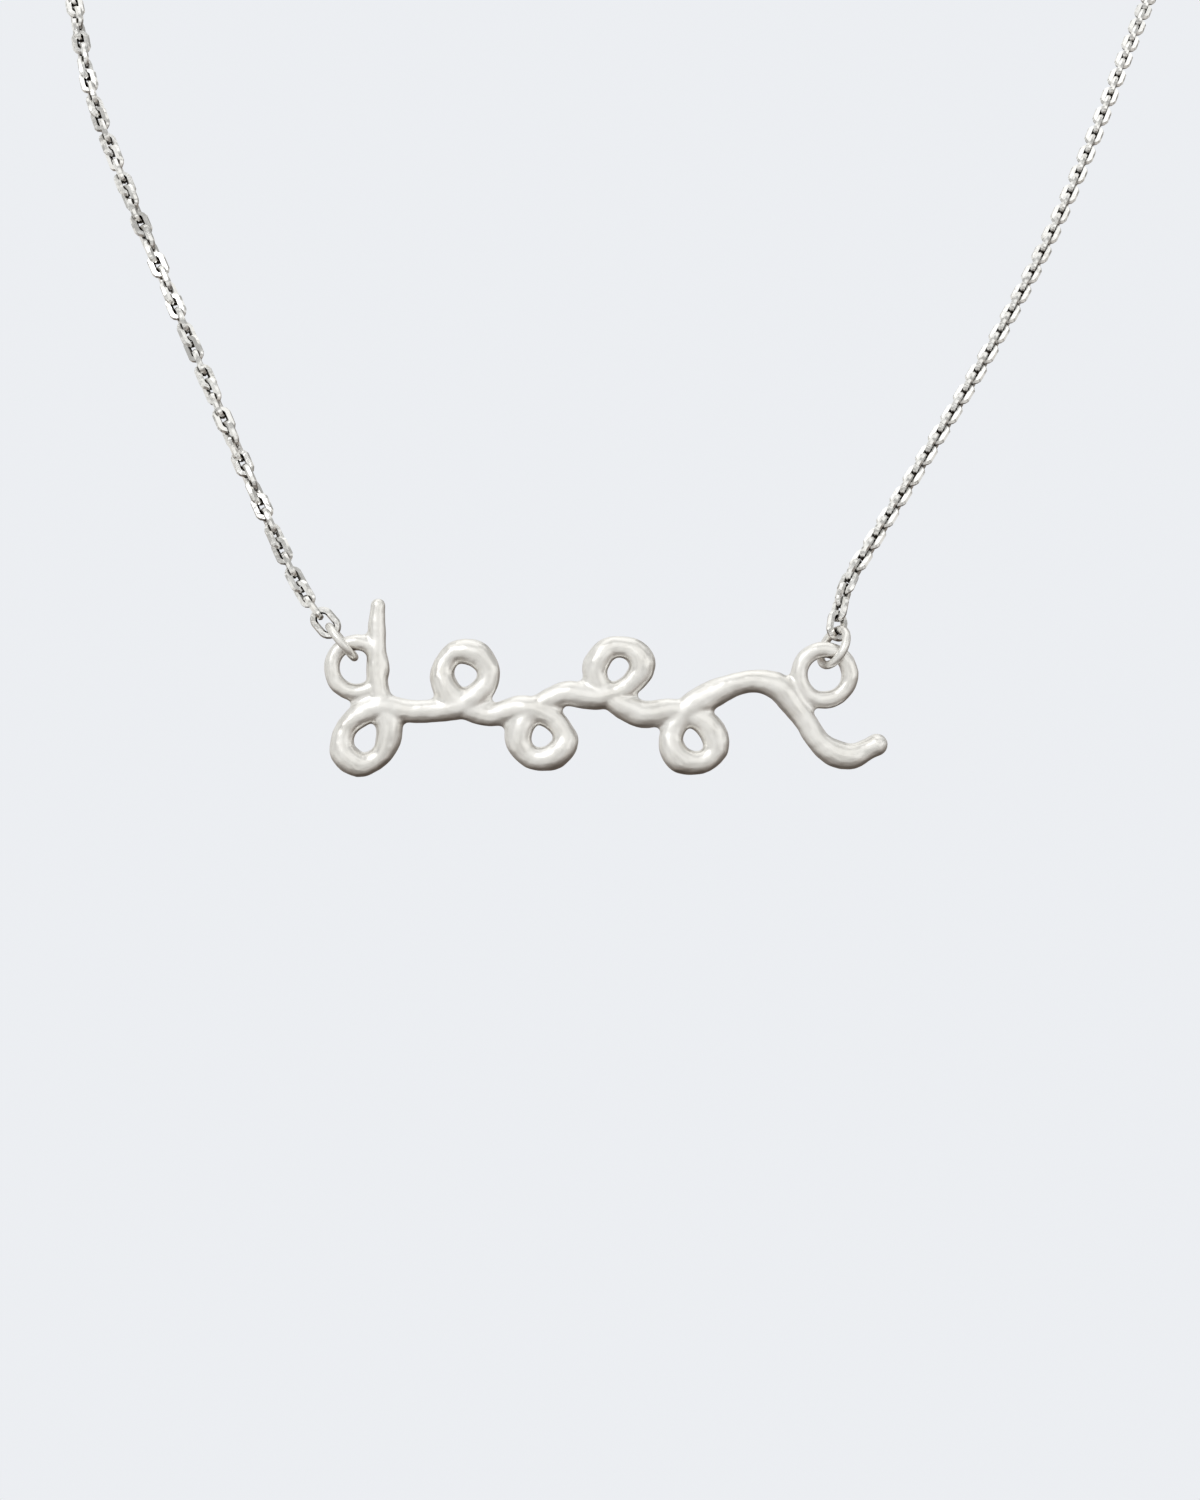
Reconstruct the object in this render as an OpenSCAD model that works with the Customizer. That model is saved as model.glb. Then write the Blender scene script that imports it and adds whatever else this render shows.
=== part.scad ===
// Necklace with a cast pen-stroke pendant on a fine cable chain, shown as worn.
// +Z is up, the front is -Y, and the origin is where the closed clasp rests on the nape.

/* [Pendant] */
// Thickness of the cast stroke
stroke_d = 1.8; // [1.6:0.1:1.9]
// Thickness at the tip of the tall stem
tip_d = 1.1; // [0.9:0.1:1.6]
// Depth of the stroke against its thickness
stroke_flatness = 0.9; // [0.8:0.05:1]
// Outer diameter of the two soldered rings
ring_d = 4.8; // [4.7:0.1:4.9]
// Wire of the soldered rings
ring_wire = 1.2; // [1:0.05:1.25]

/* [Chain] */
// Length of one link over its ends
link_l = 2.1; // [2.08:0.01:2.12]
// Width of one link
link_w = 1.4; // [1.38:0.01:1.44]
// Wire of one link, drawn thin enough that loose links stay clear of each other
link_wire = 0.34; // [0.3:0.01:0.34]
// Distance from one link to the next
link_pitch = 1.2; // [1.18:0.01:1.22]
// How far each link on the left is turned against the one before it, in degrees
left_twist = 64; // [64:1:90]
// How far each link on the right is turned against the one before it, in degrees
right_twist = 90; // [70:1:90]
// Links drawn one by one on the left, from the pendant
left_front_links = 92; // [10:1:96]
// Links drawn one by one on the right, from the pendant
right_front_links = 104; // [10:1:108]
// Links drawn one by one on each side, before the clasp
back_links = 6; // [2:1:8]

/* [Fittings] */
// Length of the four larger links that end the chain
end_link_l = 2.5; // [2.4:0.1:2.6]
// Width of the end links
end_link_w = 1.8; // [1.75:0.05:1.9]
// Wire of the end links
end_link_wire = 0.42; // [0.38:0.02:0.42]
// Outer diameter of the two jump rings at the pendant
jump_d = 3.4; // [3.4:0.1:3.5]
// Wire of the jump rings
jump_wire = 0.6; // [0.5:0.05:0.6]
// Outer diameter of the ring clasp
clasp_d = 6; // [5.8:0.1:6.4]
// Wire of the ring clasp
clasp_wire = 1.2; // [1:0.1:1.2]
// Outer diameter of the clasp's eye
eye_d = 2.4; // [2.3:0.1:2.5]
// Wire of the clasp's eye
eye_wire = 0.6; // [0.5:0.05:0.6]
// Outer diameter of the ring that the clasp catches
catch_d = 3.9; // [3.8:0.1:4.1]
// Wire of the catch ring
catch_wire = 0.7; // [0.6:0.05:0.7]

/* [Hidden] */
$fn = 24;
satin_silver = [0.93, 0.92, 0.9];
bright_silver = [0.86, 0.87, 0.88];

// Least clearance between two rings or links that hang in each other
hook_gap = 0.11;
// Clearance of a jump ring on the soldered ring, which it crosses at a slant
jump_gap = 0.2;
// Clear space from a single link to the tube that stands for the rest of its chain
tube_gap = 0.15;

// Middle of the pendant's upper edge, seen from the nape
front = [-3, -123, -97];
// Upright line through the middle of the neck
neck_axis = [0, -60, 0];

// Pen stroke, right and up from the middle of the upper edge
stroke = [[-15, 2.6], [-15.1, -0.6], [-14.9, -3.7], [-14.2, -5.8], [-14.6, -7.8], [-16.2, -8.7],
    [-17.5, -7.7], [-17.1, -5.9], [-15.2, -4.7], [-12.7, -4.9], [-10.2, -4.8], [-8.1, -3.9],
    [-7.1, -2.3], [-7.9, -0.9], [-9.6, -0.8], [-10.4, -2.4], [-9.4, -4.2], [-7.1, -5.2],
    [-4.6, -4.7], [-2.6, -5.4], [-1.6, -7], [-2.6, -8.2], [-4.3, -8.1], [-5, -6.6],
    [-3.9, -4.8], [-1.7, -3.7], [0.8, -3.9], [2.9, -3.1], [3.9, -1.7], [3.1, -0.5],
    [1.4, -0.5], [0.5, -2], [1.4, -3.8], [3.7, -5.1], [6.2, -4.9], [8.3, -5.7],
    [9.2, -7.3], [8.3, -8.5], [6.6, -8.4], [5.9, -6.9], [6.9, -5], [9.1, -3.6],
    [11.5, -2.8], [13.6, -3.2], [15.1, -5], [16.7, -7.3], [18.6, -8.1], [20.6, -7.3]];
// Short steps in each span of the pen stroke
stroke_steps = 2;
// Spans over which the stem widens from its tip
taper_spans = 2;
// How much the cast stroke swells and thins, as a share of its thickness
lumps = 0.1;
// How fast it does so, in degrees a step
lump_turn = 72;
left_ring = [-16.5, -1.8];
right_ring = [16.9, -2.3];

// Course of each half of the chain, from the pendant's ring over the shoulder to the nape
left_route = [[-20.4, -123, -97.2], [-23.5, -122.5, -93.2], [-27.1, -121.2, -85.9],
    [-30.5, -119.7, -78.4], [-33.9, -118, -70.8], [-37.4, -116, -62.9], [-40.7, -113.3, -54.7],
    [-42.9, -109.8, -46.4], [-46, -103, -38], [-51, -88, -27.5], [-55, -66, -17.5],
    [-53.5, -43, -9.5], [-47, -25, -5], [-37.5, -12, -2.2], [-27.5, -4.2, -0.7],
    [-19, -0.4, -0.1], [-12, 0.6, 0], [-6, 0.6, 0], [0, 0.6, 0]];
right_route = [[14.5, -123, -97.6], [15.6, -120.6, -93.1], [18.1, -117.8, -89.1],
    [23.5, -111.9, -81], [29.1, -106.1, -72.3], [34.4, -100.4, -63.1],
    [38.9, -95.2, -54.1], [43.3, -89.6, -44.5], [47.9, -82, -35], [52.6, -70, -25],
    [55, -54.5, -15.8], [53, -38, -9], [46.5, -23.5, -4.7], [37.5, -12, -2.2],
    [27.5, -4.2, -0.7], [19, -0.4, -0.1], [12, 0.6, 0], [6, 0.6, 0], [0, 0.6, 0]];
route_steps = 12;

function unit(v) = v / norm(v);

// Point on a smooth curve between b and c, with a before them and d after them
function smooth(a, b, c, d, u) =
    (2 * b + (c - a) * u + (2 * a - 5 * b + 4 * c - d) * u * u + (3 * b - a - 3 * c + d) * u * u * u) / 2;

// Smooth curve through all the points, as short straight steps
function curve(points, steps) =
    let (last = len(points) - 1)
    let (p = concat([2 * points[0] - points[1]], points, [2 * points[last] - points[last - 1]]))
    concat([for (i = [0:last - 1]) for (k = [0:steps - 1]) smooth(p[i], p[i + 1], p[i + 2], p[i + 3], k / steps)],
        [points[last]]);

// Length along a path up to each of its points
function lengths(path) =
    [for (i = 0, s = 0; i < len(path); i = i + 1, s = i < len(path) ? s + norm(path[i] - path[i - 1]) : s) s];

// Tables that give each coordinate of a path from the length along it
function line(path) =
    let (s = lengths(path))
    [for (k = [0:2]) [for (i = [0:len(path) - 1]) [s[i], path[i][k]]]];

function place(course, s) = [for (k = [0:2]) lookup(s, course[k])];
function total(course) = course[0][len(course[0]) - 1][0];
function along(course, s) = unit(place(course, s + link_l / 4) - place(course, s - link_l / 4));

// Directions at a length along the course: along it, away from the neck, and square to both
function frame_at(course, s) =
    let (t = along(course, s))
    let (from_axis = place(course, s) - neck_axis)
    let (out = [from_axis[0], from_axis[1], 0])
    let (r = unit(out - (out * t) * t))
    [t, r, cross(t, r)];

// Distance between the middles of two closed rings that hang in each other
function hooked(l_1, wire_1, l_2, wire_2) = l_1 / 2 - wire_1 + l_2 / 2 - wire_2 - hook_gap;

left_course = line(curve(left_route, route_steps));
right_course = line(curve(right_route, route_steps));

// From the wire of a soldered ring to the middle of each piece
jump_at = jump_d / 2 - jump_wire - ring_wire / 2 - jump_gap;
front_end_at = jump_at + hooked(jump_d, jump_wire, end_link_l, end_link_wire);
end_step = hooked(end_link_l, end_link_wire, link_l, link_wire);
first_link_at = front_end_at + end_step;

// From the nape to the middle of each piece
clasp_at = hooked(clasp_d, clasp_wire, catch_d, catch_wire) / 2;
eye_offset = (clasp_d + eye_d) / 2 - eye_wire;
left_end_at = clasp_at + eye_offset + hooked(eye_d, eye_wire, end_link_l, end_link_wire);
right_end_at = clasp_at + hooked(catch_d, catch_wire, end_link_l, end_link_wire);

// One half of the chain: course, links, step between links, turn of the end link, turn of the first link,
// turn per link, distance from the nape to its last end link, and lean
function half(course, end_at, twist, jump_turn, lean, last_turn) =
    let (span = total(course) - end_at - end_step - first_link_at)
    let (gaps = round(span / link_pitch))
    let (end_turn = jump_turn + 90 + lean)
    let (first_turn = end_turn + 90 + lean)
    let (leaned = first_turn + (lean_links - 1) * lean)
    let (half_turns = round((gaps * twist + leaned - 90 - last_turn) / 180))
    let (link_twist = (180 * half_turns + last_turn + 90 - leaned) / gaps)
    [course, gaps + 1, span / gaps, end_turn, first_turn, link_twist, end_at, lean];

// Turn about the course of the jump rings and of the end links at the clasp, in degrees
left_jump_turn = 15;
right_jump_turn = 15;
left_last_turn = 0;
right_last_turn = 90;
// Further turn that the end link at the pendant, and each of the first links, adds to that, in degrees
left_lean = 0;
right_lean = 5;
// How many links add it
lean_links = 5;
left_half = half(left_course, left_end_at, left_twist, left_jump_turn, left_lean, left_last_turn);
right_half = half(right_course, right_end_at, right_twist, right_jump_turn, right_lean, right_last_turn);

// Length along the course, and turn, of one link of a half
function link_at(chain, i) = first_link_at + i * chain[2];
function link_turn(chain, i) = chain[4] + i * chain[5] + min(i, lean_links - 1) * chain[7];

// Sets a piece on the course, with its long side along it
module riding(course, s, turn) {
    f = frame_at(course, s);
    p = place(course, s);
    y = f[1] * cos(turn) + f[2] * sin(turn);
    z = cross(f[0], y);
    multmatrix([[f[0][0], y[0], z[0], p[0]], [f[0][1], y[1], z[1], p[1]], [f[0][2], y[2], z[2], p[2]]])
        children();
}

// Round ring of wire, by its outer diameter
module wire_ring(d, wire, sides = 24, wire_sides = 24) {
    rotate_extrude($fn = sides)
        translate([(d - wire) / 2, 0])
            circle(d = wire, $fn = wire_sides);
}

// Oval link of wire, lying along X
module link(l, w, wire) {
    bend = (w - wire) / 2;
    straight = l - w;
    for (side = [-1, 1]) {
        translate([side * straight / 2, 0, 0])
            rotate([0, 0, -90 * side])
                rotate_extrude(angle = 180)
                    translate([bend, 0])
                        circle(d = wire);
        translate([0, side * bend, 0])
            rotate([0, 90, 0])
                cylinder(d = wire, h = straight, center = true);
    }
}

module end_link() {
    link(end_link_l, end_link_w, end_link_wire);
}

module links(chain, first, last) {
    for (i = [first:last])
        riding(chain[0], link_at(chain, i), link_turn(chain, i))
            link(link_l, link_w, link_wire);
}

// Half of the chain, link by link: the long stretch from the pendant and the short one at the clasp,
// each with its end link
module chain_links(chain, front_links, last_turn) {
    riding(chain[0], front_end_at, chain[3])
        end_link();
    links(chain, 0, front_links - 1);
    links(chain, chain[1] - back_links, chain[1] - 1);
    riding(chain[0], total(chain[0]) - chain[6], last_turn)
        end_link();
}

// Tube along the course, eight-sided
module tube(course, from, to, d) {
    sides = 8;
    rings = ceil((to - from) / (2.5 * d));
    points = [for (i = [0:rings]) let (s = from + (to - from) * i / rings) let (f = frame_at(course, s))
        for (k = [0:sides - 1]) place(course, s) + (f[1] * cos(360 * k / sides) + f[2] * sin(360 * k / sides)) * d / 2];
    walls = [for (i = [0:rings - 1]) for (k = [0:sides - 1]) let (n = (k + 1) % sides)
        [i * sides + n, i * sides + k, (i + 1) * sides + k, (i + 1) * sides + n]];
    start = [for (k = [0:sides - 1]) k];
    finish = [for (k = [0:sides - 1]) rings * sides + sides - 1 - k];
    polyhedron(points, concat(walls, [start, finish]));
}

// Plain tube that stands for the links over the shoulder
module chain_tube(chain, front_links) {
    tube(chain[0], link_at(chain, front_links - 1) + link_l / 2 + tube_gap,
        link_at(chain, chain[1] - back_links) - link_l / 2 - tube_gap, link_w);
}

function stroke_width(i) =
    let (taper = min(1, i / (taper_spans * stroke_steps)))
    (tip_d + (stroke_d - tip_d) * taper) * (1 + lumps * sin(i * lump_turn) * taper);

// One cross-section of the pen stroke, square to the way it runs
module stroke_section(path, i) {
    from = path[max(i - 1, 0)];
    to = path[min(i + 1, len(path) - 1)];
    translate([path[i][0], 0, path[i][1]])
        rotate([0, -atan2(to[1] - from[1], to[0] - from[0]), 0])
            rotate([0, 90, 0])
                scale([1, stroke_flatness, 1])
                    cylinder(d = stroke_width(i), h = 0.02, center = true, $fn = 12);
}

// Round end of the pen stroke
module stroke_end(path, i) {
    translate([path[i][0], 0, path[i][1]])
        scale([1, stroke_flatness, 1])
            sphere(d = stroke_width(i), $fn = 12);
}

// Cast flourish with the two rings soldered to it, all one piece of metal
module pendant() {
    path = curve(stroke, stroke_steps);
    color(satin_silver)
        translate(front) {
            for (i = [0:len(path) - 2])
                hull() {
                    stroke_section(path, i);
                    stroke_section(path, i + 1);
                }
            stroke_end(path, 0);
            stroke_end(path, len(path) - 1);
            for (at = [left_ring, right_ring])
                translate([at[0], 0, at[1]])
                    rotate([90, 0, 0])
                        wire_ring(ring_d, ring_wire, 24, 10);
        }
}

module left_jump_ring() {
    color(satin_silver)
        riding(left_course, jump_at, left_jump_turn)
            wire_ring(jump_d, jump_wire);
}

module right_jump_ring() {
    color(satin_silver)
        riding(right_course, jump_at, right_jump_turn)
            wire_ring(jump_d, jump_wire);
}

module left_chain() {
    color(bright_silver)
        chain_links(left_half, left_front_links, left_last_turn);
}

module right_chain() {
    color(bright_silver)
        chain_links(right_half, right_front_links, right_last_turn);
}

module left_chain_back() {
    color(bright_silver)
        chain_tube(left_half, left_front_links);
}

module right_chain_back() {
    color(bright_silver)
        chain_tube(right_half, right_front_links);
}

// Closed ring clasp with its eye, as one plain piece
module clasp() {
    color(bright_silver)
        riding(left_course, total(left_course) - clasp_at, 90) {
            wire_ring(clasp_d, clasp_wire);
            translate([-eye_offset, 0, 0])
                wire_ring(eye_d, eye_wire);
        }
}

module catch_ring() {
    color(bright_silver)
        riding(right_course, total(right_course) - clasp_at, 0)
            wire_ring(catch_d, catch_wire);
}

pendant();
left_jump_ring();
right_jump_ring();
left_chain();
right_chain();
left_chain_back();
right_chain_back();
clasp();
catch_ring();
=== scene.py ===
# Looks of the necklace: cast pendant, rings, cable links and clasp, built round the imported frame.
# New pieces are modelled in millimetres and brought to metres when they are finished.
import math
import bpy
import numpy as np
from mathutils import Matrix, Vector


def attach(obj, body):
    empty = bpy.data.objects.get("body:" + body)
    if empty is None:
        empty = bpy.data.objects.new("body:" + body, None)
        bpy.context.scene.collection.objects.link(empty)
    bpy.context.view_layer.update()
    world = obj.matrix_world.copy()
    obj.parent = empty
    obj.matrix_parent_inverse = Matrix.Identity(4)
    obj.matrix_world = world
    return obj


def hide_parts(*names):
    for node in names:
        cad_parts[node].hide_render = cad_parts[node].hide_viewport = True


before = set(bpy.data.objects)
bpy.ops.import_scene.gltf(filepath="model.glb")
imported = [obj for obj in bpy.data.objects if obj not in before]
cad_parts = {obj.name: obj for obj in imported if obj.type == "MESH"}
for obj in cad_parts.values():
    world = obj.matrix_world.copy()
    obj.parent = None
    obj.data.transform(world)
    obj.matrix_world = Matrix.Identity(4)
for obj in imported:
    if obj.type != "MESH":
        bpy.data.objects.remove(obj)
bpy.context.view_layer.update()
print("frame loaded")

mm = 0.001
frontPoint = Vector((-3, -123, -97))  # middle of the pendant's upper edge, seen from the nape
neckMiddle = Vector((0, -60, 0))  # the neck's upright middle line goes through here


# Small helpers for picking, joining and shaping

def deselectAll():
    for item in bpy.context.selected_objects:
        item.select_set(False)


def pickOnly(item):
    deselectAll()
    item.select_set(True)
    bpy.context.view_layer.objects.active = item


def joinPieces(items, name):
    pickOnly(items[0])
    for item in items[1:]:
        item.select_set(True)
    bpy.ops.object.join()
    joined = bpy.context.active_object
    joined.name = name
    joined.data.name = name
    return joined


def applyModifier(piece, modifier):
    pickOnly(piece)
    bpy.ops.object.modifier_apply(modifier=modifier.name)


def fixPlace(piece):
    pickOnly(piece)
    bpy.ops.object.transform_apply(location=True, rotation=True, scale=True)


def smoothOver(piece, sharpFrom=180):
    pickOnly(piece)
    if sharpFrom < 180:
        bpy.ops.object.shade_smooth_by_angle(angle=math.radians(sharpFrom))
    else:
        bpy.ops.object.shade_smooth()


def addRing(name, diameter, wire, sides, wireSides, place=(0, 0, 0), turn=(0, 0, 0)):
    deselectAll()
    bpy.ops.mesh.primitive_torus_add(
        location=place, rotation=turn, major_segments=sides, minor_segments=wireSides,
        major_radius=(diameter - wire) / 2, minor_radius=wire / 2)
    ring = bpy.context.active_object
    ring.name = name
    fixPlace(ring)
    return ring


def melt(piece, voxel, rounds):
    # one skin over everything joined, then its steps smoothed away
    skin = piece.modifiers.new("skin", "REMESH")
    skin.mode = "VOXEL"
    skin.voxel_size = voxel
    applyModifier(piece, skin)
    ease = piece.modifiers.new("ease", "SMOOTH")
    ease.factor = 0.5
    ease.iterations = rounds
    applyModifier(piece, ease)


def swell(piece, amount):
    # moves the skin out or in by the same distance everywhere
    push = piece.modifiers.new("push", "DISPLACE")
    push.strength = amount
    push.mid_level = 0
    push.direction = "NORMAL"
    applyModifier(piece, push)


def dent(piece, size, depth):
    # soft uneven hollows and bumps, as wax leaves them
    cloud = bpy.data.textures.new("wax " + str(size), "CLOUDS")
    cloud.noise_scale = size
    cloud.noise_depth = 1
    push = piece.modifiers.new("dents", "DISPLACE")
    push.texture = cloud
    push.texture_coords = "LOCAL"
    push.strength = depth
    push.mid_level = 0.5
    applyModifier(piece, push)


def finishPiece(piece, slotName, material, *replacedNodes, sharpFrom=180):
    # from millimetres to metres, with the place kept in the mesh
    piece.data.transform(Matrix.Scale(mm, 4))
    piece.data.materials.clear()
    piece.data.materials.append(material)
    smoothOver(piece, sharpFrom)
    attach(piece, "root")
    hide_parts(*replacedNodes)
    print(piece.name, len(piece.data.polygons), "faces")


# Camera: level with the pendant, where the photograph was taken from

cameraSetup = {
    "place": (-0.002143, -0.283, -0.10468),
    "lens": 53.76,
    "sensor": 36,
    "nearest": 0.005,  # nothing closer is drawn
}


def setCamera(values):
    data = bpy.data.cameras.new("camera")
    data.lens = values["lens"]
    data.sensor_width = values["sensor"]
    data.clip_start = values["nearest"]
    camera = bpy.data.objects.new("camera", data)
    camera.location = values["place"]
    camera.rotation_euler = (math.pi / 2, 0, 0)
    bpy.context.scene.collection.objects.link(camera)
    bpy.context.scene.camera = camera


setCamera(cameraSetup)


# Finishes

satinLook = {
    "light": (0.975, 0.967, 0.945, 1),
    "shade": (0.915, 0.90, 0.865, 1),
    # colour of the painted shade in recesses, which stands for some tarnish too
    "tarnishAndShade": (0.34, 0.29, 0.25, 1),
    "smooth": 0.28,
    "rough": 0.42,
    "patchScale": 420,
    "hollowScale": 1100,
    "grainScale": 9000,
    "recess": 0.0007,  # how near other metal darkens a place with painted shade
    "recessFrom": 0.2,
    "recessTo": 0.7,
}

brightLook = {
    "light": (0.98, 0.98, 0.97, 1),
    "shade": (0.88, 0.87, 0.845, 1),
    # colour of the painted shade in recesses, which stands for some tarnish too
    "tarnishAndShade": (0.06, 0.047, 0.035, 1),
    "smooth": 0.10,
    "rough": 0.22,
    "patchScale": 900,
    "hollowScale": 2600,
    "grainScale": 14000,
    "recess": 0.0007,
    "recessFrom": 0.32,
    "recessTo": 0.72,
}


# The same for both finishes
silverSurface = {
    "patchDetail": 3,
    "shadeUpTo": 0.32,
    "lightFrom": 0.62,
    "smoothUpTo": 0.3,
    "roughFrom": 0.7,
    "recessSamples": 16,
    "hollowDetail": 2,
    "hollowStrength": 0.35,
    "hollowDepth": 0.00006,
    "grainDetail": 4,
    "grainStrength": 0.12,
    "grainDepth": 0.00001,
}


def addNoise(tree, place, scale, detail):
    noise = tree.nodes.new("ShaderNodeTexNoise")
    noise.inputs["Scale"].default_value = scale
    noise.inputs["Detail"].default_value = detail
    tree.links.new(place, noise.inputs["Vector"])
    return noise


def addRange(tree, value, fromLow, fromHigh, toLow, toHigh):
    spread = tree.nodes.new("ShaderNodeMapRange")
    spread.inputs["From Min"].default_value = fromLow
    spread.inputs["From Max"].default_value = fromHigh
    spread.inputs["To Min"].default_value = toLow
    spread.inputs["To Max"].default_value = toHigh
    tree.links.new(value, spread.inputs["Value"])
    return spread


def addRamp(tree, value, stops):
    ramp = tree.nodes.new("ShaderNodeValToRGB")
    tree.links.new(value, ramp.inputs["Fac"])
    marks = ramp.color_ramp.elements
    while len(marks) < len(stops):
        marks.new(1)
    for mark, (position, color) in zip(marks, stops):
        mark.position = position
        mark.color = color
    return ramp


def addBump(tree, height, strength, depth):
    bump = tree.nodes.new("ShaderNodeBump")
    bump.inputs["Strength"].default_value = strength
    bump.inputs["Distance"].default_value = depth
    tree.links.new(height, bump.inputs["Height"])
    return bump


def silverFinish(name, look):
    material = bpy.data.materials.new(name)
    material.use_nodes = True
    tree = material.node_tree
    shader = tree.nodes["Principled BSDF"]
    shader.inputs["Metallic"].default_value = 1
    place = tree.nodes.new("ShaderNodeTexCoord").outputs["Object"]

    # slight unevenness of colour and polish
    patches = addNoise(tree, place, look["patchScale"], silverSurface["patchDetail"])
    tone = addRamp(tree, patches.outputs["Fac"], [
        (silverSurface["shadeUpTo"], look["shade"]), (silverSurface["lightFrom"], look["light"])])
    polish = addRange(tree, patches.outputs["Fac"], silverSurface["smoothUpTo"], silverSurface["roughFrom"],
                      look["smooth"], look["rough"])
    tree.links.new(polish.outputs["Result"], shader.inputs["Roughness"])

    # painted shade in recesses, darker where other metal is near, with some tarnish there as well
    recess = tree.nodes.new("ShaderNodeAmbientOcclusion")
    recess.samples = silverSurface["recessSamples"]
    recess.inputs["Distance"].default_value = look["recess"]
    depth = addRamp(tree, recess.outputs["AO"], [
        (look["recessFrom"], (1, 1, 1, 1)), (look["recessTo"], (0, 0, 0, 1))])
    darken = tree.nodes.new("ShaderNodeMix")
    darken.data_type = "RGBA"
    tree.links.new(depth.outputs["Color"], darken.inputs["Factor"])
    tree.links.new(tone.outputs["Color"], darken.inputs["A"])
    darken.inputs["B"].default_value = look["tarnishAndShade"]
    tree.links.new(darken.outputs["Result"], shader.inputs["Base Color"])

    # small hollows, with a fine grain over them
    hollows = addNoise(tree, place, look["hollowScale"], silverSurface["hollowDetail"])
    softBump = addBump(tree, hollows.outputs["Fac"],
                       silverSurface["hollowStrength"], silverSurface["hollowDepth"])
    grain = addNoise(tree, place, look["grainScale"], silverSurface["grainDetail"])
    fineBump = addBump(tree, grain.outputs["Fac"],
                       silverSurface["grainStrength"], silverSurface["grainDepth"])
    tree.links.new(softBump.outputs["Normal"], fineBump.inputs["Normal"])
    tree.links.new(fineBump.outputs["Normal"], shader.inputs["Normal"])
    return material


satinSilver = silverFinish("satin silver", satinLook)
brightSilver = silverFinish("bright silver", brightLook)
print("finishes made")


# Pendant: one pen stroke with a soldered ring at each end, cast in one piece

pendantSize = {
    "stroke": [
        (-15, 2.6), (-15.1, -0.6), (-14.9, -3.7), (-14.2, -5.8), (-14.6, -7.8), (-16.2, -8.7),
        (-17.5, -7.7), (-17.1, -5.9), (-15.2, -4.7), (-12.7, -4.9), (-10.2, -4.8), (-8.1, -3.9),
        (-7.1, -2.3), (-7.9, -0.9), (-9.6, -0.8), (-10.4, -2.4), (-9.4, -4.2), (-7.1, -5.2),
        (-4.6, -4.7), (-2.6, -5.4), (-1.6, -7), (-2.6, -8.2), (-4.3, -8.1), (-5, -6.6),
        (-3.9, -4.8), (-1.7, -3.7), (0.8, -3.9), (2.9, -3.1), (3.9, -1.7), (3.1, -0.5),
        (1.4, -0.5), (0.5, -2), (1.4, -3.8), (3.7, -5.1), (6.2, -4.9), (8.3, -5.7),
        (9.2, -7.3), (8.3, -8.5), (6.6, -8.4), (5.9, -6.9), (6.9, -5), (9.1, -3.6),
        (11.5, -2.8), (13.6, -3.2), (15.1, -5), (16.7, -7.3), (18.6, -8.1), (20.6, -7.3)],
    "width": 1.8,
    "tipWidth": 1.1,
    "taperSpans": 2,
    "lumps": 0.1,  # share of the width
    "lumpTurn": 144,  # degrees a span
    "depth": 0.9,  # share of the width
    "steps": 10,  # in each span of the stroke
    "roundness": 5,  # corners in a quarter of the stroke's section
    "rings": {"left": (-16.5, -1.8), "right": (16.9, -2.3)},
    "ringWidth": 4.8,
    "ringWire": 1.2,
    "ringSides": 48,
    "ringWireSides": 20,
    "voxel": 0.09,
    "rounds": 2,  # of smoothing after each new skin
    "lastRounds": 4,
    "fillet": 0.22,
    "hollows": [(2.6, 0.22), (0.9, 0.07)],  # size and depth, wide ones first
}


def smoothPath(points, steps):
    # smooth curve through all the points, as short straight steps
    padded = [2 * points[0] - points[1]] + points + [2 * points[-1] - points[-2]]
    path = []
    for i in range(len(points) - 1):
        a, b, c, d = padded[i:i + 4]
        for k in range(steps):
            u = k / steps
            path.append((2 * b + (c - a) * u + (2 * a - 5 * b + 4 * c - d) * u ** 2
                         + (3 * b - a - 3 * c + d) * u ** 3) / 2)
    path.append(points[-1])
    return path


def strokeWidth(values, spans):
    taper = min(1, spans / values["taperSpans"])
    width = values["tipWidth"] + (values["width"] - values["tipWidth"]) * taper
    return width * (1 + values["lumps"] * math.sin(math.radians(spans * values["lumpTurn"])) * taper)


def addStroke(values):
    path = smoothPath([Vector((x, 0, z)) for x, z in values["stroke"]], values["steps"])
    data = bpy.data.curves.new("pen stroke", "CURVE")
    data.dimensions = "3D"
    data.bevel_depth = 1
    data.bevel_resolution = values["roundness"]
    data.use_fill_caps = True
    line = data.splines.new("POLY")
    line.points.add(len(path) - 1)
    for i, point in enumerate(path):
        line.points[i].co = (*point, 1)
        line.points[i].radius = strokeWidth(values, i / values["steps"]) / 2
    stroke = bpy.data.objects.new("pen stroke", data)
    bpy.context.scene.collection.objects.link(stroke)
    pickOnly(stroke)
    bpy.ops.object.convert(target="MESH")
    stroke = bpy.context.active_object
    parts = [stroke]
    for end in (0, len(path) - 1):  # a round end closes each end of the stroke
        deselectAll()
        bpy.ops.mesh.primitive_uv_sphere_add(
            segments=24, ring_count=16, location=path[end],
            radius=strokeWidth(values, end / values["steps"]) / 2)
        parts.append(bpy.context.active_object)
    stroke = joinPieces(parts, "pen stroke")
    stroke.scale = (1, values["depth"], 1)
    fixPlace(stroke)
    return stroke


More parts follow.
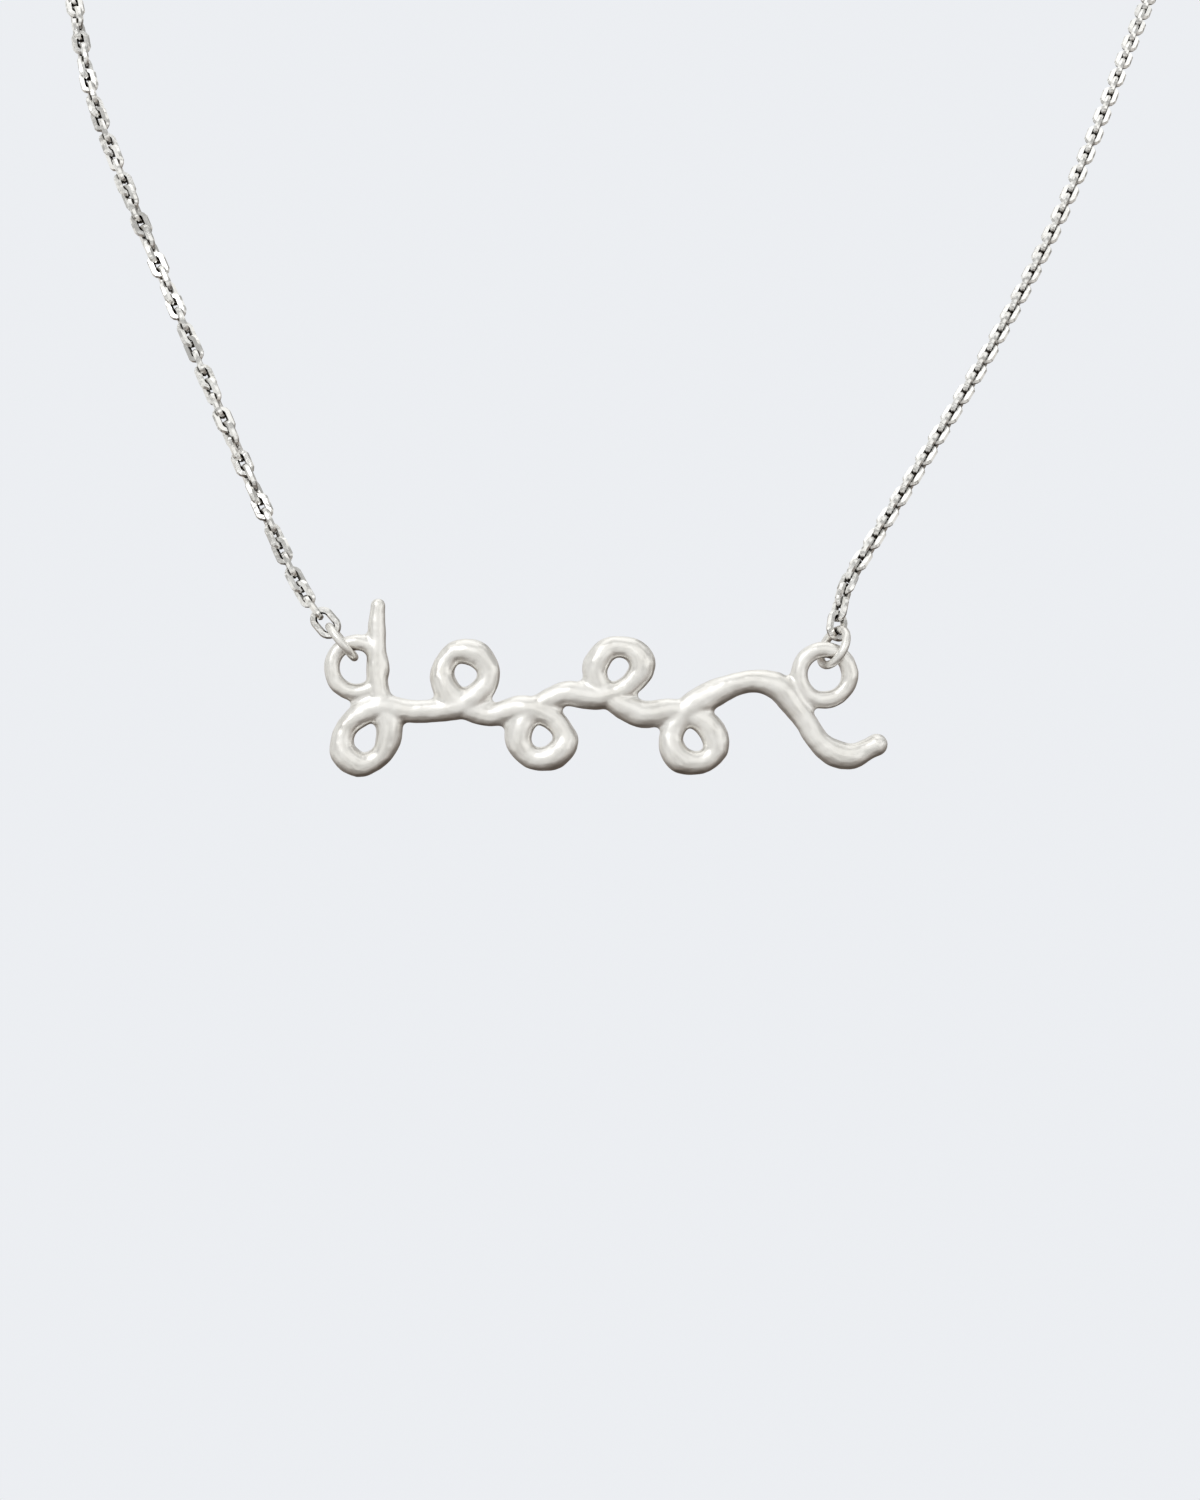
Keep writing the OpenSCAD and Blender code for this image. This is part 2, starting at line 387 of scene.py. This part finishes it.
def makePendant(values):
    parts = [addStroke(values)]
    for name, (x, z) in values["rings"].items():
        parts.append(addRing(name, values["ringWidth"], values["ringWire"], values["ringSides"],
                             values["ringWireSides"], (x, 0, z), (math.pi / 2, 0, 0)))
    pendant = joinPieces(parts, "pendantCasting")
    melt(pendant, values["voxel"], values["rounds"])
    # closing the sharp inner corners, as metal pools where strokes meet
    swell(pendant, values["fillet"])
    melt(pendant, values["voxel"], values["rounds"])
    swell(pendant, -values["fillet"])
    melt(pendant, values["voxel"], values["lastRounds"])
    for size, depth in values["hollows"]:
        dent(pendant, size, depth)
    pendant.data.transform(Matrix.Translation(frontPoint))
    finishPiece(pendant, "satin_silver", satinSilver, "pendant")


makePendant(pendantSize)


# Course of the two halves of the chain, from the pendant's rings to the nape

routes = {
    "left": [
        (-20.4, -123, -97.2), (-23.5, -122.5, -93.2), (-27.1, -121.2, -85.9), (-30.5, -119.7, -78.4),
        (-33.9, -118, -70.8), (-37.4, -116, -62.9), (-40.7, -113.3, -54.7), (-42.9, -109.8, -46.4),
        (-46, -103, -38), (-51, -88, -27.5), (-55, -66, -17.5), (-53.5, -43, -9.5), (-47, -25, -5),
        (-37.5, -12, -2.2), (-27.5, -4.2, -0.7), (-19, -0.4, -0.1), (-12, 0.6, 0), (-6, 0.6, 0),
        (0, 0.6, 0)],
    "right": [
        (14.5, -123, -97.6), (15.6, -120.6, -93.1), (18.1, -117.8, -89.1), (23.5, -111.9, -81),
        (29.1, -106.1, -72.3), (34.4, -100.4, -63.1), (38.9, -95.2, -54.1), (43.3, -89.6, -44.5),
        (47.9, -82, -35), (52.6, -70, -25), (55, -54.5, -15.8), (53, -38, -9), (46.5, -23.5, -4.7),
        (37.5, -12, -2.2), (27.5, -4.2, -0.7), (19, -0.4, -0.1), (12, 0.6, 0), (6, 0.6, 0),
        (0, 0.6, 0)],
}
routeSteps = 12  # in each span of a route


class Course:
    # a path that gives a place and a direction at any length along it
    def __init__(self, points):
        path = smoothPath([Vector(point) for point in points], routeSteps)
        self.table = np.array(path)
        steps = np.linalg.norm(np.diff(self.table, axis=0), axis=1)
        self.lengths = np.concatenate([[0], np.cumsum(steps)])
        self.total = self.lengths[-1]

    def place(self, s):
        return Vector([np.interp(s, self.lengths, self.table[:, k]) for k in range(3)])

    def setting(self, s, turn):
        # matrix that lays a piece with its long side along the course, turned about it
        spread = chainSize["length"] / 4
        along = (self.place(s + spread) - self.place(s - spread)).normalized()
        middle = self.place(s)
        out = middle - neckMiddle
        out.z = 0
        outward = (out - out.dot(along) * along).normalized()
        sideways = along.cross(outward)
        across = outward * math.cos(math.radians(turn)) + sideways * math.sin(math.radians(turn))
        axes = Matrix((along, across, along.cross(across))).transposed()
        return Matrix.Translation(middle) @ axes.to_4x4()


# Chain: cable links of slightly flattened wire, each turned against the one before it

chainSize = {
    "length": 2.22,
    "width": 1.42,
    "wire": 0.48,
    "sideSpread": 1.12,  # how much wider the wire is along a link's sides
    "flatSpread": 1.2,  # how much of the wire is flat
    "flatness": 0.95,  # thickness against the width of the wire
    "pitch": 1.2,
    "sides": 14,
    "wireSides": 6,
    "endLength": 2.5,
    "endWidth": 1.8,
    "endWire": 0.52,
    "endSides": 22,
    "leanLinks": 5,  # how many of the first links add the lean of their half
    "sharpFrom": 38,  # degrees
}

# Distances along the course from the pendant's ring, and from the nape
fromRing = {"jumpRing": 0.3, "endLink": 2.12, "firstLink": 3.55}
fromNape = {"clasp": 1.47, "left": 6.39, "right": 3.44}
endStep = 1.43  # from an end link to the link that hangs in it
square = 90  # degrees from a ring or end link to the piece that hangs in it

# Turns in degrees: twist from link to link, of the jump ring, lean that each of the first links adds,
# and of the end link at the nape
halves = {
    "left": {"twist": 64, "jumpTurn": 15, "lean": 0, "lastTurn": 0},
    "right": {"twist": 90, "jumpTurn": 15, "lean": 5, "lastTurn": 90},
}

courses = {side: Course(points) for side, points in routes.items()}


def modelLink(name, length, width, wire, sides, sideSpread=1):
    # a round ring of six-sided wire with broad flats, pulled apart at its middle into an oval
    link = addRing(name, width, wire, sides, chainSize["wireSides"])
    hole = width / 2 - wire
    narrowHole = width / 2 - wire * sideSpread
    middle = (width - wire) / 2
    for vertex in link.data.vertices:
        radius = math.hypot(vertex.co.x, vertex.co.y)
        if abs(vertex.co.z) > wire / 4:  # on a flat
            spread = (middle + (radius - middle) * chainSize["flatSpread"]) / radius
            vertex.co.x *= spread
            vertex.co.y *= spread
            vertex.co.z *= chainSize["flatness"]
        vertex.co.x += math.copysign((length - width) / 2, vertex.co.x)
        across = abs(vertex.co.y)
        if across < hole:
            across *= narrowHole / hole
        else:
            across = narrowHole + (across - hole) * sideSpread
        vertex.co.y = math.copysign(across, vertex.co.y)
    return link


def copyInto(model, matrix):
    copy = model.copy()
    copy.data = model.data.copy()
    copy.data.transform(matrix)
    bpy.context.scene.collection.objects.link(copy)
    return copy


def makeChain(side, name, *replacedNodes):
    values = halves[side]
    course = courses[side]
    link = modelLink("link", chainSize["length"], chainSize["width"], chainSize["wire"],
                     chainSize["sides"], chainSize["sideSpread"])
    endLink = modelLink("end link", chainSize["endLength"], chainSize["endWidth"], chainSize["endWire"],
                        chainSize["endSides"])
    lastAt = course.total - fromNape[side]
    span = lastAt - endStep - fromRing["firstLink"]
    gaps = round(span / chainSize["pitch"])
    endTurn = values["jumpTurn"] + square + values["lean"]
    firstTurn = endTurn + square + values["lean"]
    leaned = firstTurn + (chainSize["leanLinks"] - 1) * values["lean"]
    # the twist is eased a little, so that the last link is square to the end link at the nape
    halfTurns = round((gaps * values["twist"] + leaned - square - values["lastTurn"]) / 180)
    twist = (180 * halfTurns + values["lastTurn"] + square - leaned) / gaps
    parts = [copyInto(endLink, course.setting(fromRing["endLink"], endTurn)),
             copyInto(endLink, course.setting(lastAt, values["lastTurn"]))]
    for i in range(gaps + 1):
        s = fromRing["firstLink"] + i * span / gaps
        turn = firstTurn + i * twist + min(i, chainSize["leanLinks"] - 1) * values["lean"]
        parts.append(copyInto(link, course.setting(s, turn)))
    chain = joinPieces(parts, name)
    for model in (link, endLink):
        bpy.data.objects.remove(model)
    finishPiece(chain, "bright_silver", brightSilver, *replacedNodes,
                sharpFrom=chainSize["sharpFrom"])


makeChain("left", "leftChainLinks", "left_chain", "left_chain_back")
makeChain("right", "rightChainLinks", "right_chain", "right_chain_back")


# Jump rings: round wire, closed with a butt joint that shows as a fine line

jumpSize = {
    "width": 3.4,
    "wire": 0.6,
    "sides": 72,
    "wireSides": 20,
    "jointAt": 40,  # degrees round the ring
    "jointDepth": 0.86,  # share of the wire that is left in the joint's groove
    "near": 0.01,  # points this close to the joint's plane are in it
}


def makeJumpRing(side, name, replacedNode):
    values = jumpSize
    ring = addRing(name, values["width"], values["wire"], values["sides"], values["wireSides"])
    step = 360 / values["sides"]
    angle = math.radians(round(values["jointAt"] / step) * step)
    radius = (values["width"] - values["wire"]) / 2
    middle = Vector((math.cos(angle), math.sin(angle), 0)) * radius
    across = Vector((-math.sin(angle), math.cos(angle), 0))
    for vertex in ring.data.vertices:
        offset = vertex.co - middle
        if abs(across.dot(offset)) < values["near"] and offset.length < values["wire"]:
            vertex.co = middle + offset * values["jointDepth"]
    ring.data.transform(courses[side].setting(fromRing["jumpRing"], halves[side]["jumpTurn"]))
    finishPiece(ring, "satin_silver", satinSilver, replacedNode)


makeJumpRing("left", "leftJumpRing", "left_jump_ring")
makeJumpRing("right", "rightJumpRing", "right_jump_ring")


# Clasp and the ring that it catches, at the nape

claspSize = {
    "width": 6,
    "wire": 1.2,
    "sides": 64,
    "wireSides": 24,
    "eyeWidth": 2.4,
    "eyeWire": 0.6,
    "eyeSides": 40,
    "eyeWireSides": 16,
    "eyeAt": (-3.6, 0, 0),
    "voxel": 0.08,
    "rounds": 4,  # of smoothing
    "turn": 90,
}

catchSize = {
    "width": 3.9,
    "wire": 0.7,
    "sides": 56,
    "wireSides": 20,
    "turn": 0,
}


def makeClasp(values):
    body = addRing("clasp body", values["width"], values["wire"], values["sides"], values["wireSides"])
    eye = addRing("clasp eye", values["eyeWidth"], values["eyeWire"], values["eyeSides"],
                  values["eyeWireSides"], values["eyeAt"])
    clasp = joinPieces([body, eye], "ringClasp")
    melt(clasp, values["voxel"], values["rounds"])
    course = courses["left"]
    clasp.data.transform(course.setting(course.total - fromNape["clasp"], values["turn"]))
    finishPiece(clasp, "bright_silver", brightSilver, "clasp")


def makeCatchRing(values):
    ring = addRing("catchRing", values["width"], values["wire"], values["sides"], values["wireSides"])
    course = courses["right"]
    ring.data.transform(course.setting(course.total - fromNape["clasp"], values["turn"]))
    finishPiece(ring, "bright_silver", brightSilver, "catch_ring")


makeClasp(claspSize)
makeCatchRing(catchSize)


# Studio: a pale floor that rises into a pale dome, and soft light

studio = {
    "floor": -0.45,
    "radius": 1.6,
    "segments": 64,
    "rings": 48,
    "pale": (0.84, 0.858, 0.888, 1),
    "brightSide": (-0.22, -0.5, 0.83),  # the way to the brightest part of the room
    "tones": [  # from the darkest side of the room to the brightest
        (0.06, (0.10, 0.08, 0.065, 1)),
        (0.22, (0.33, 0.295, 0.265, 1)),
        (0.36, (0.62, 0.595, 0.565, 1)),
        (0.58, (0.90, 0.895, 0.87, 1)),
        (0.88, (1.02, 1.015, 0.99, 1))],
    "clutterScale": 3.2,
    "clutterDetail": 1,
    "clutterFrom": 0.44,
    "clutterTo": 0.52,
    "clutterDark": 0.45,
}


def makeRoom(values):
    deselectAll()
    bpy.ops.mesh.primitive_uv_sphere_add(
        segments=values["segments"], ring_count=values["rings"], radius=values["radius"])
    room = bpy.context.active_object
    room.name = "room"
    for vertex in room.data.vertices:
        vertex.co.z = max(vertex.co.z, values["floor"])
    paint = bpy.data.materials.new("pale paint")
    paint.use_nodes = True
    nodes = paint.node_tree.nodes
    nodes.remove(nodes["Principled BSDF"])
    glow = nodes.new("ShaderNodeEmission")
    glow.inputs["Color"].default_value = values["pale"]
    paint.node_tree.links.new(glow.outputs["Emission"], nodes["Material Output"].inputs["Surface"])
    room.data.materials.append(paint)
    room.visible_diffuse = False
    room.visible_glossy = False
    room.visible_transmission = False
    room.visible_shadow = False
    smoothOver(room)


def makeSky(values):
    # light from all round: white above, warm and dark below, with a few darker things in the room
    world = bpy.data.worlds.new("studio light")
    world.use_nodes = True
    bpy.context.scene.world = world
    tree = world.node_tree
    place = tree.nodes.new("ShaderNodeTexCoord").outputs["Generated"]
    facing = tree.nodes.new("ShaderNodeVectorMath")
    facing.operation = "DOT_PRODUCT"
    tree.links.new(place, facing.inputs[0])
    facing.inputs[1].default_value = values["brightSide"]
    rise = addRange(tree, facing.outputs["Value"], -1, 1, 0, 1)
    shades = addRamp(tree, rise.outputs["Result"], values["tones"])
    clutter = addNoise(tree, place, values["clutterScale"], values["clutterDetail"])
    edges = addRange(tree, clutter.outputs["Fac"], values["clutterFrom"], values["clutterTo"],
                     values["clutterDark"], 1)
    back = tree.nodes["Background"]
    tree.links.new(shades.outputs["Color"], back.inputs["Color"])
    tree.links.new(edges.outputs["Result"], back.inputs["Strength"])


lamps = {
    "key": {"place": (-0.35, -0.75, 0.35), "size": 0.4, "power": 0.9},
    "fill": {"place": (0.55, -0.65, 0.0), "size": 0.5, "power": 0.15},
    "top": {"place": (0.0, -0.05, 0.7), "size": 0.6, "power": 0.35},
}


def addLamp(name, values):
    data = bpy.data.lights.new(name, "AREA")
    data.size = values["size"]
    data.energy = values["power"]
    lamp = bpy.data.objects.new(name, data)
    lamp.location = values["place"]
    aim = frontPoint * mm - lamp.location
    lamp.rotation_euler = aim.to_track_quat("-Z", "Y").to_euler()
    bpy.context.scene.collection.objects.link(lamp)


makeRoom(studio)
makeSky(studio)
for name, values in lamps.items():
    addLamp(name, values)
bpy.context.scene.view_settings.view_transform = "Standard"
print("studio lit")
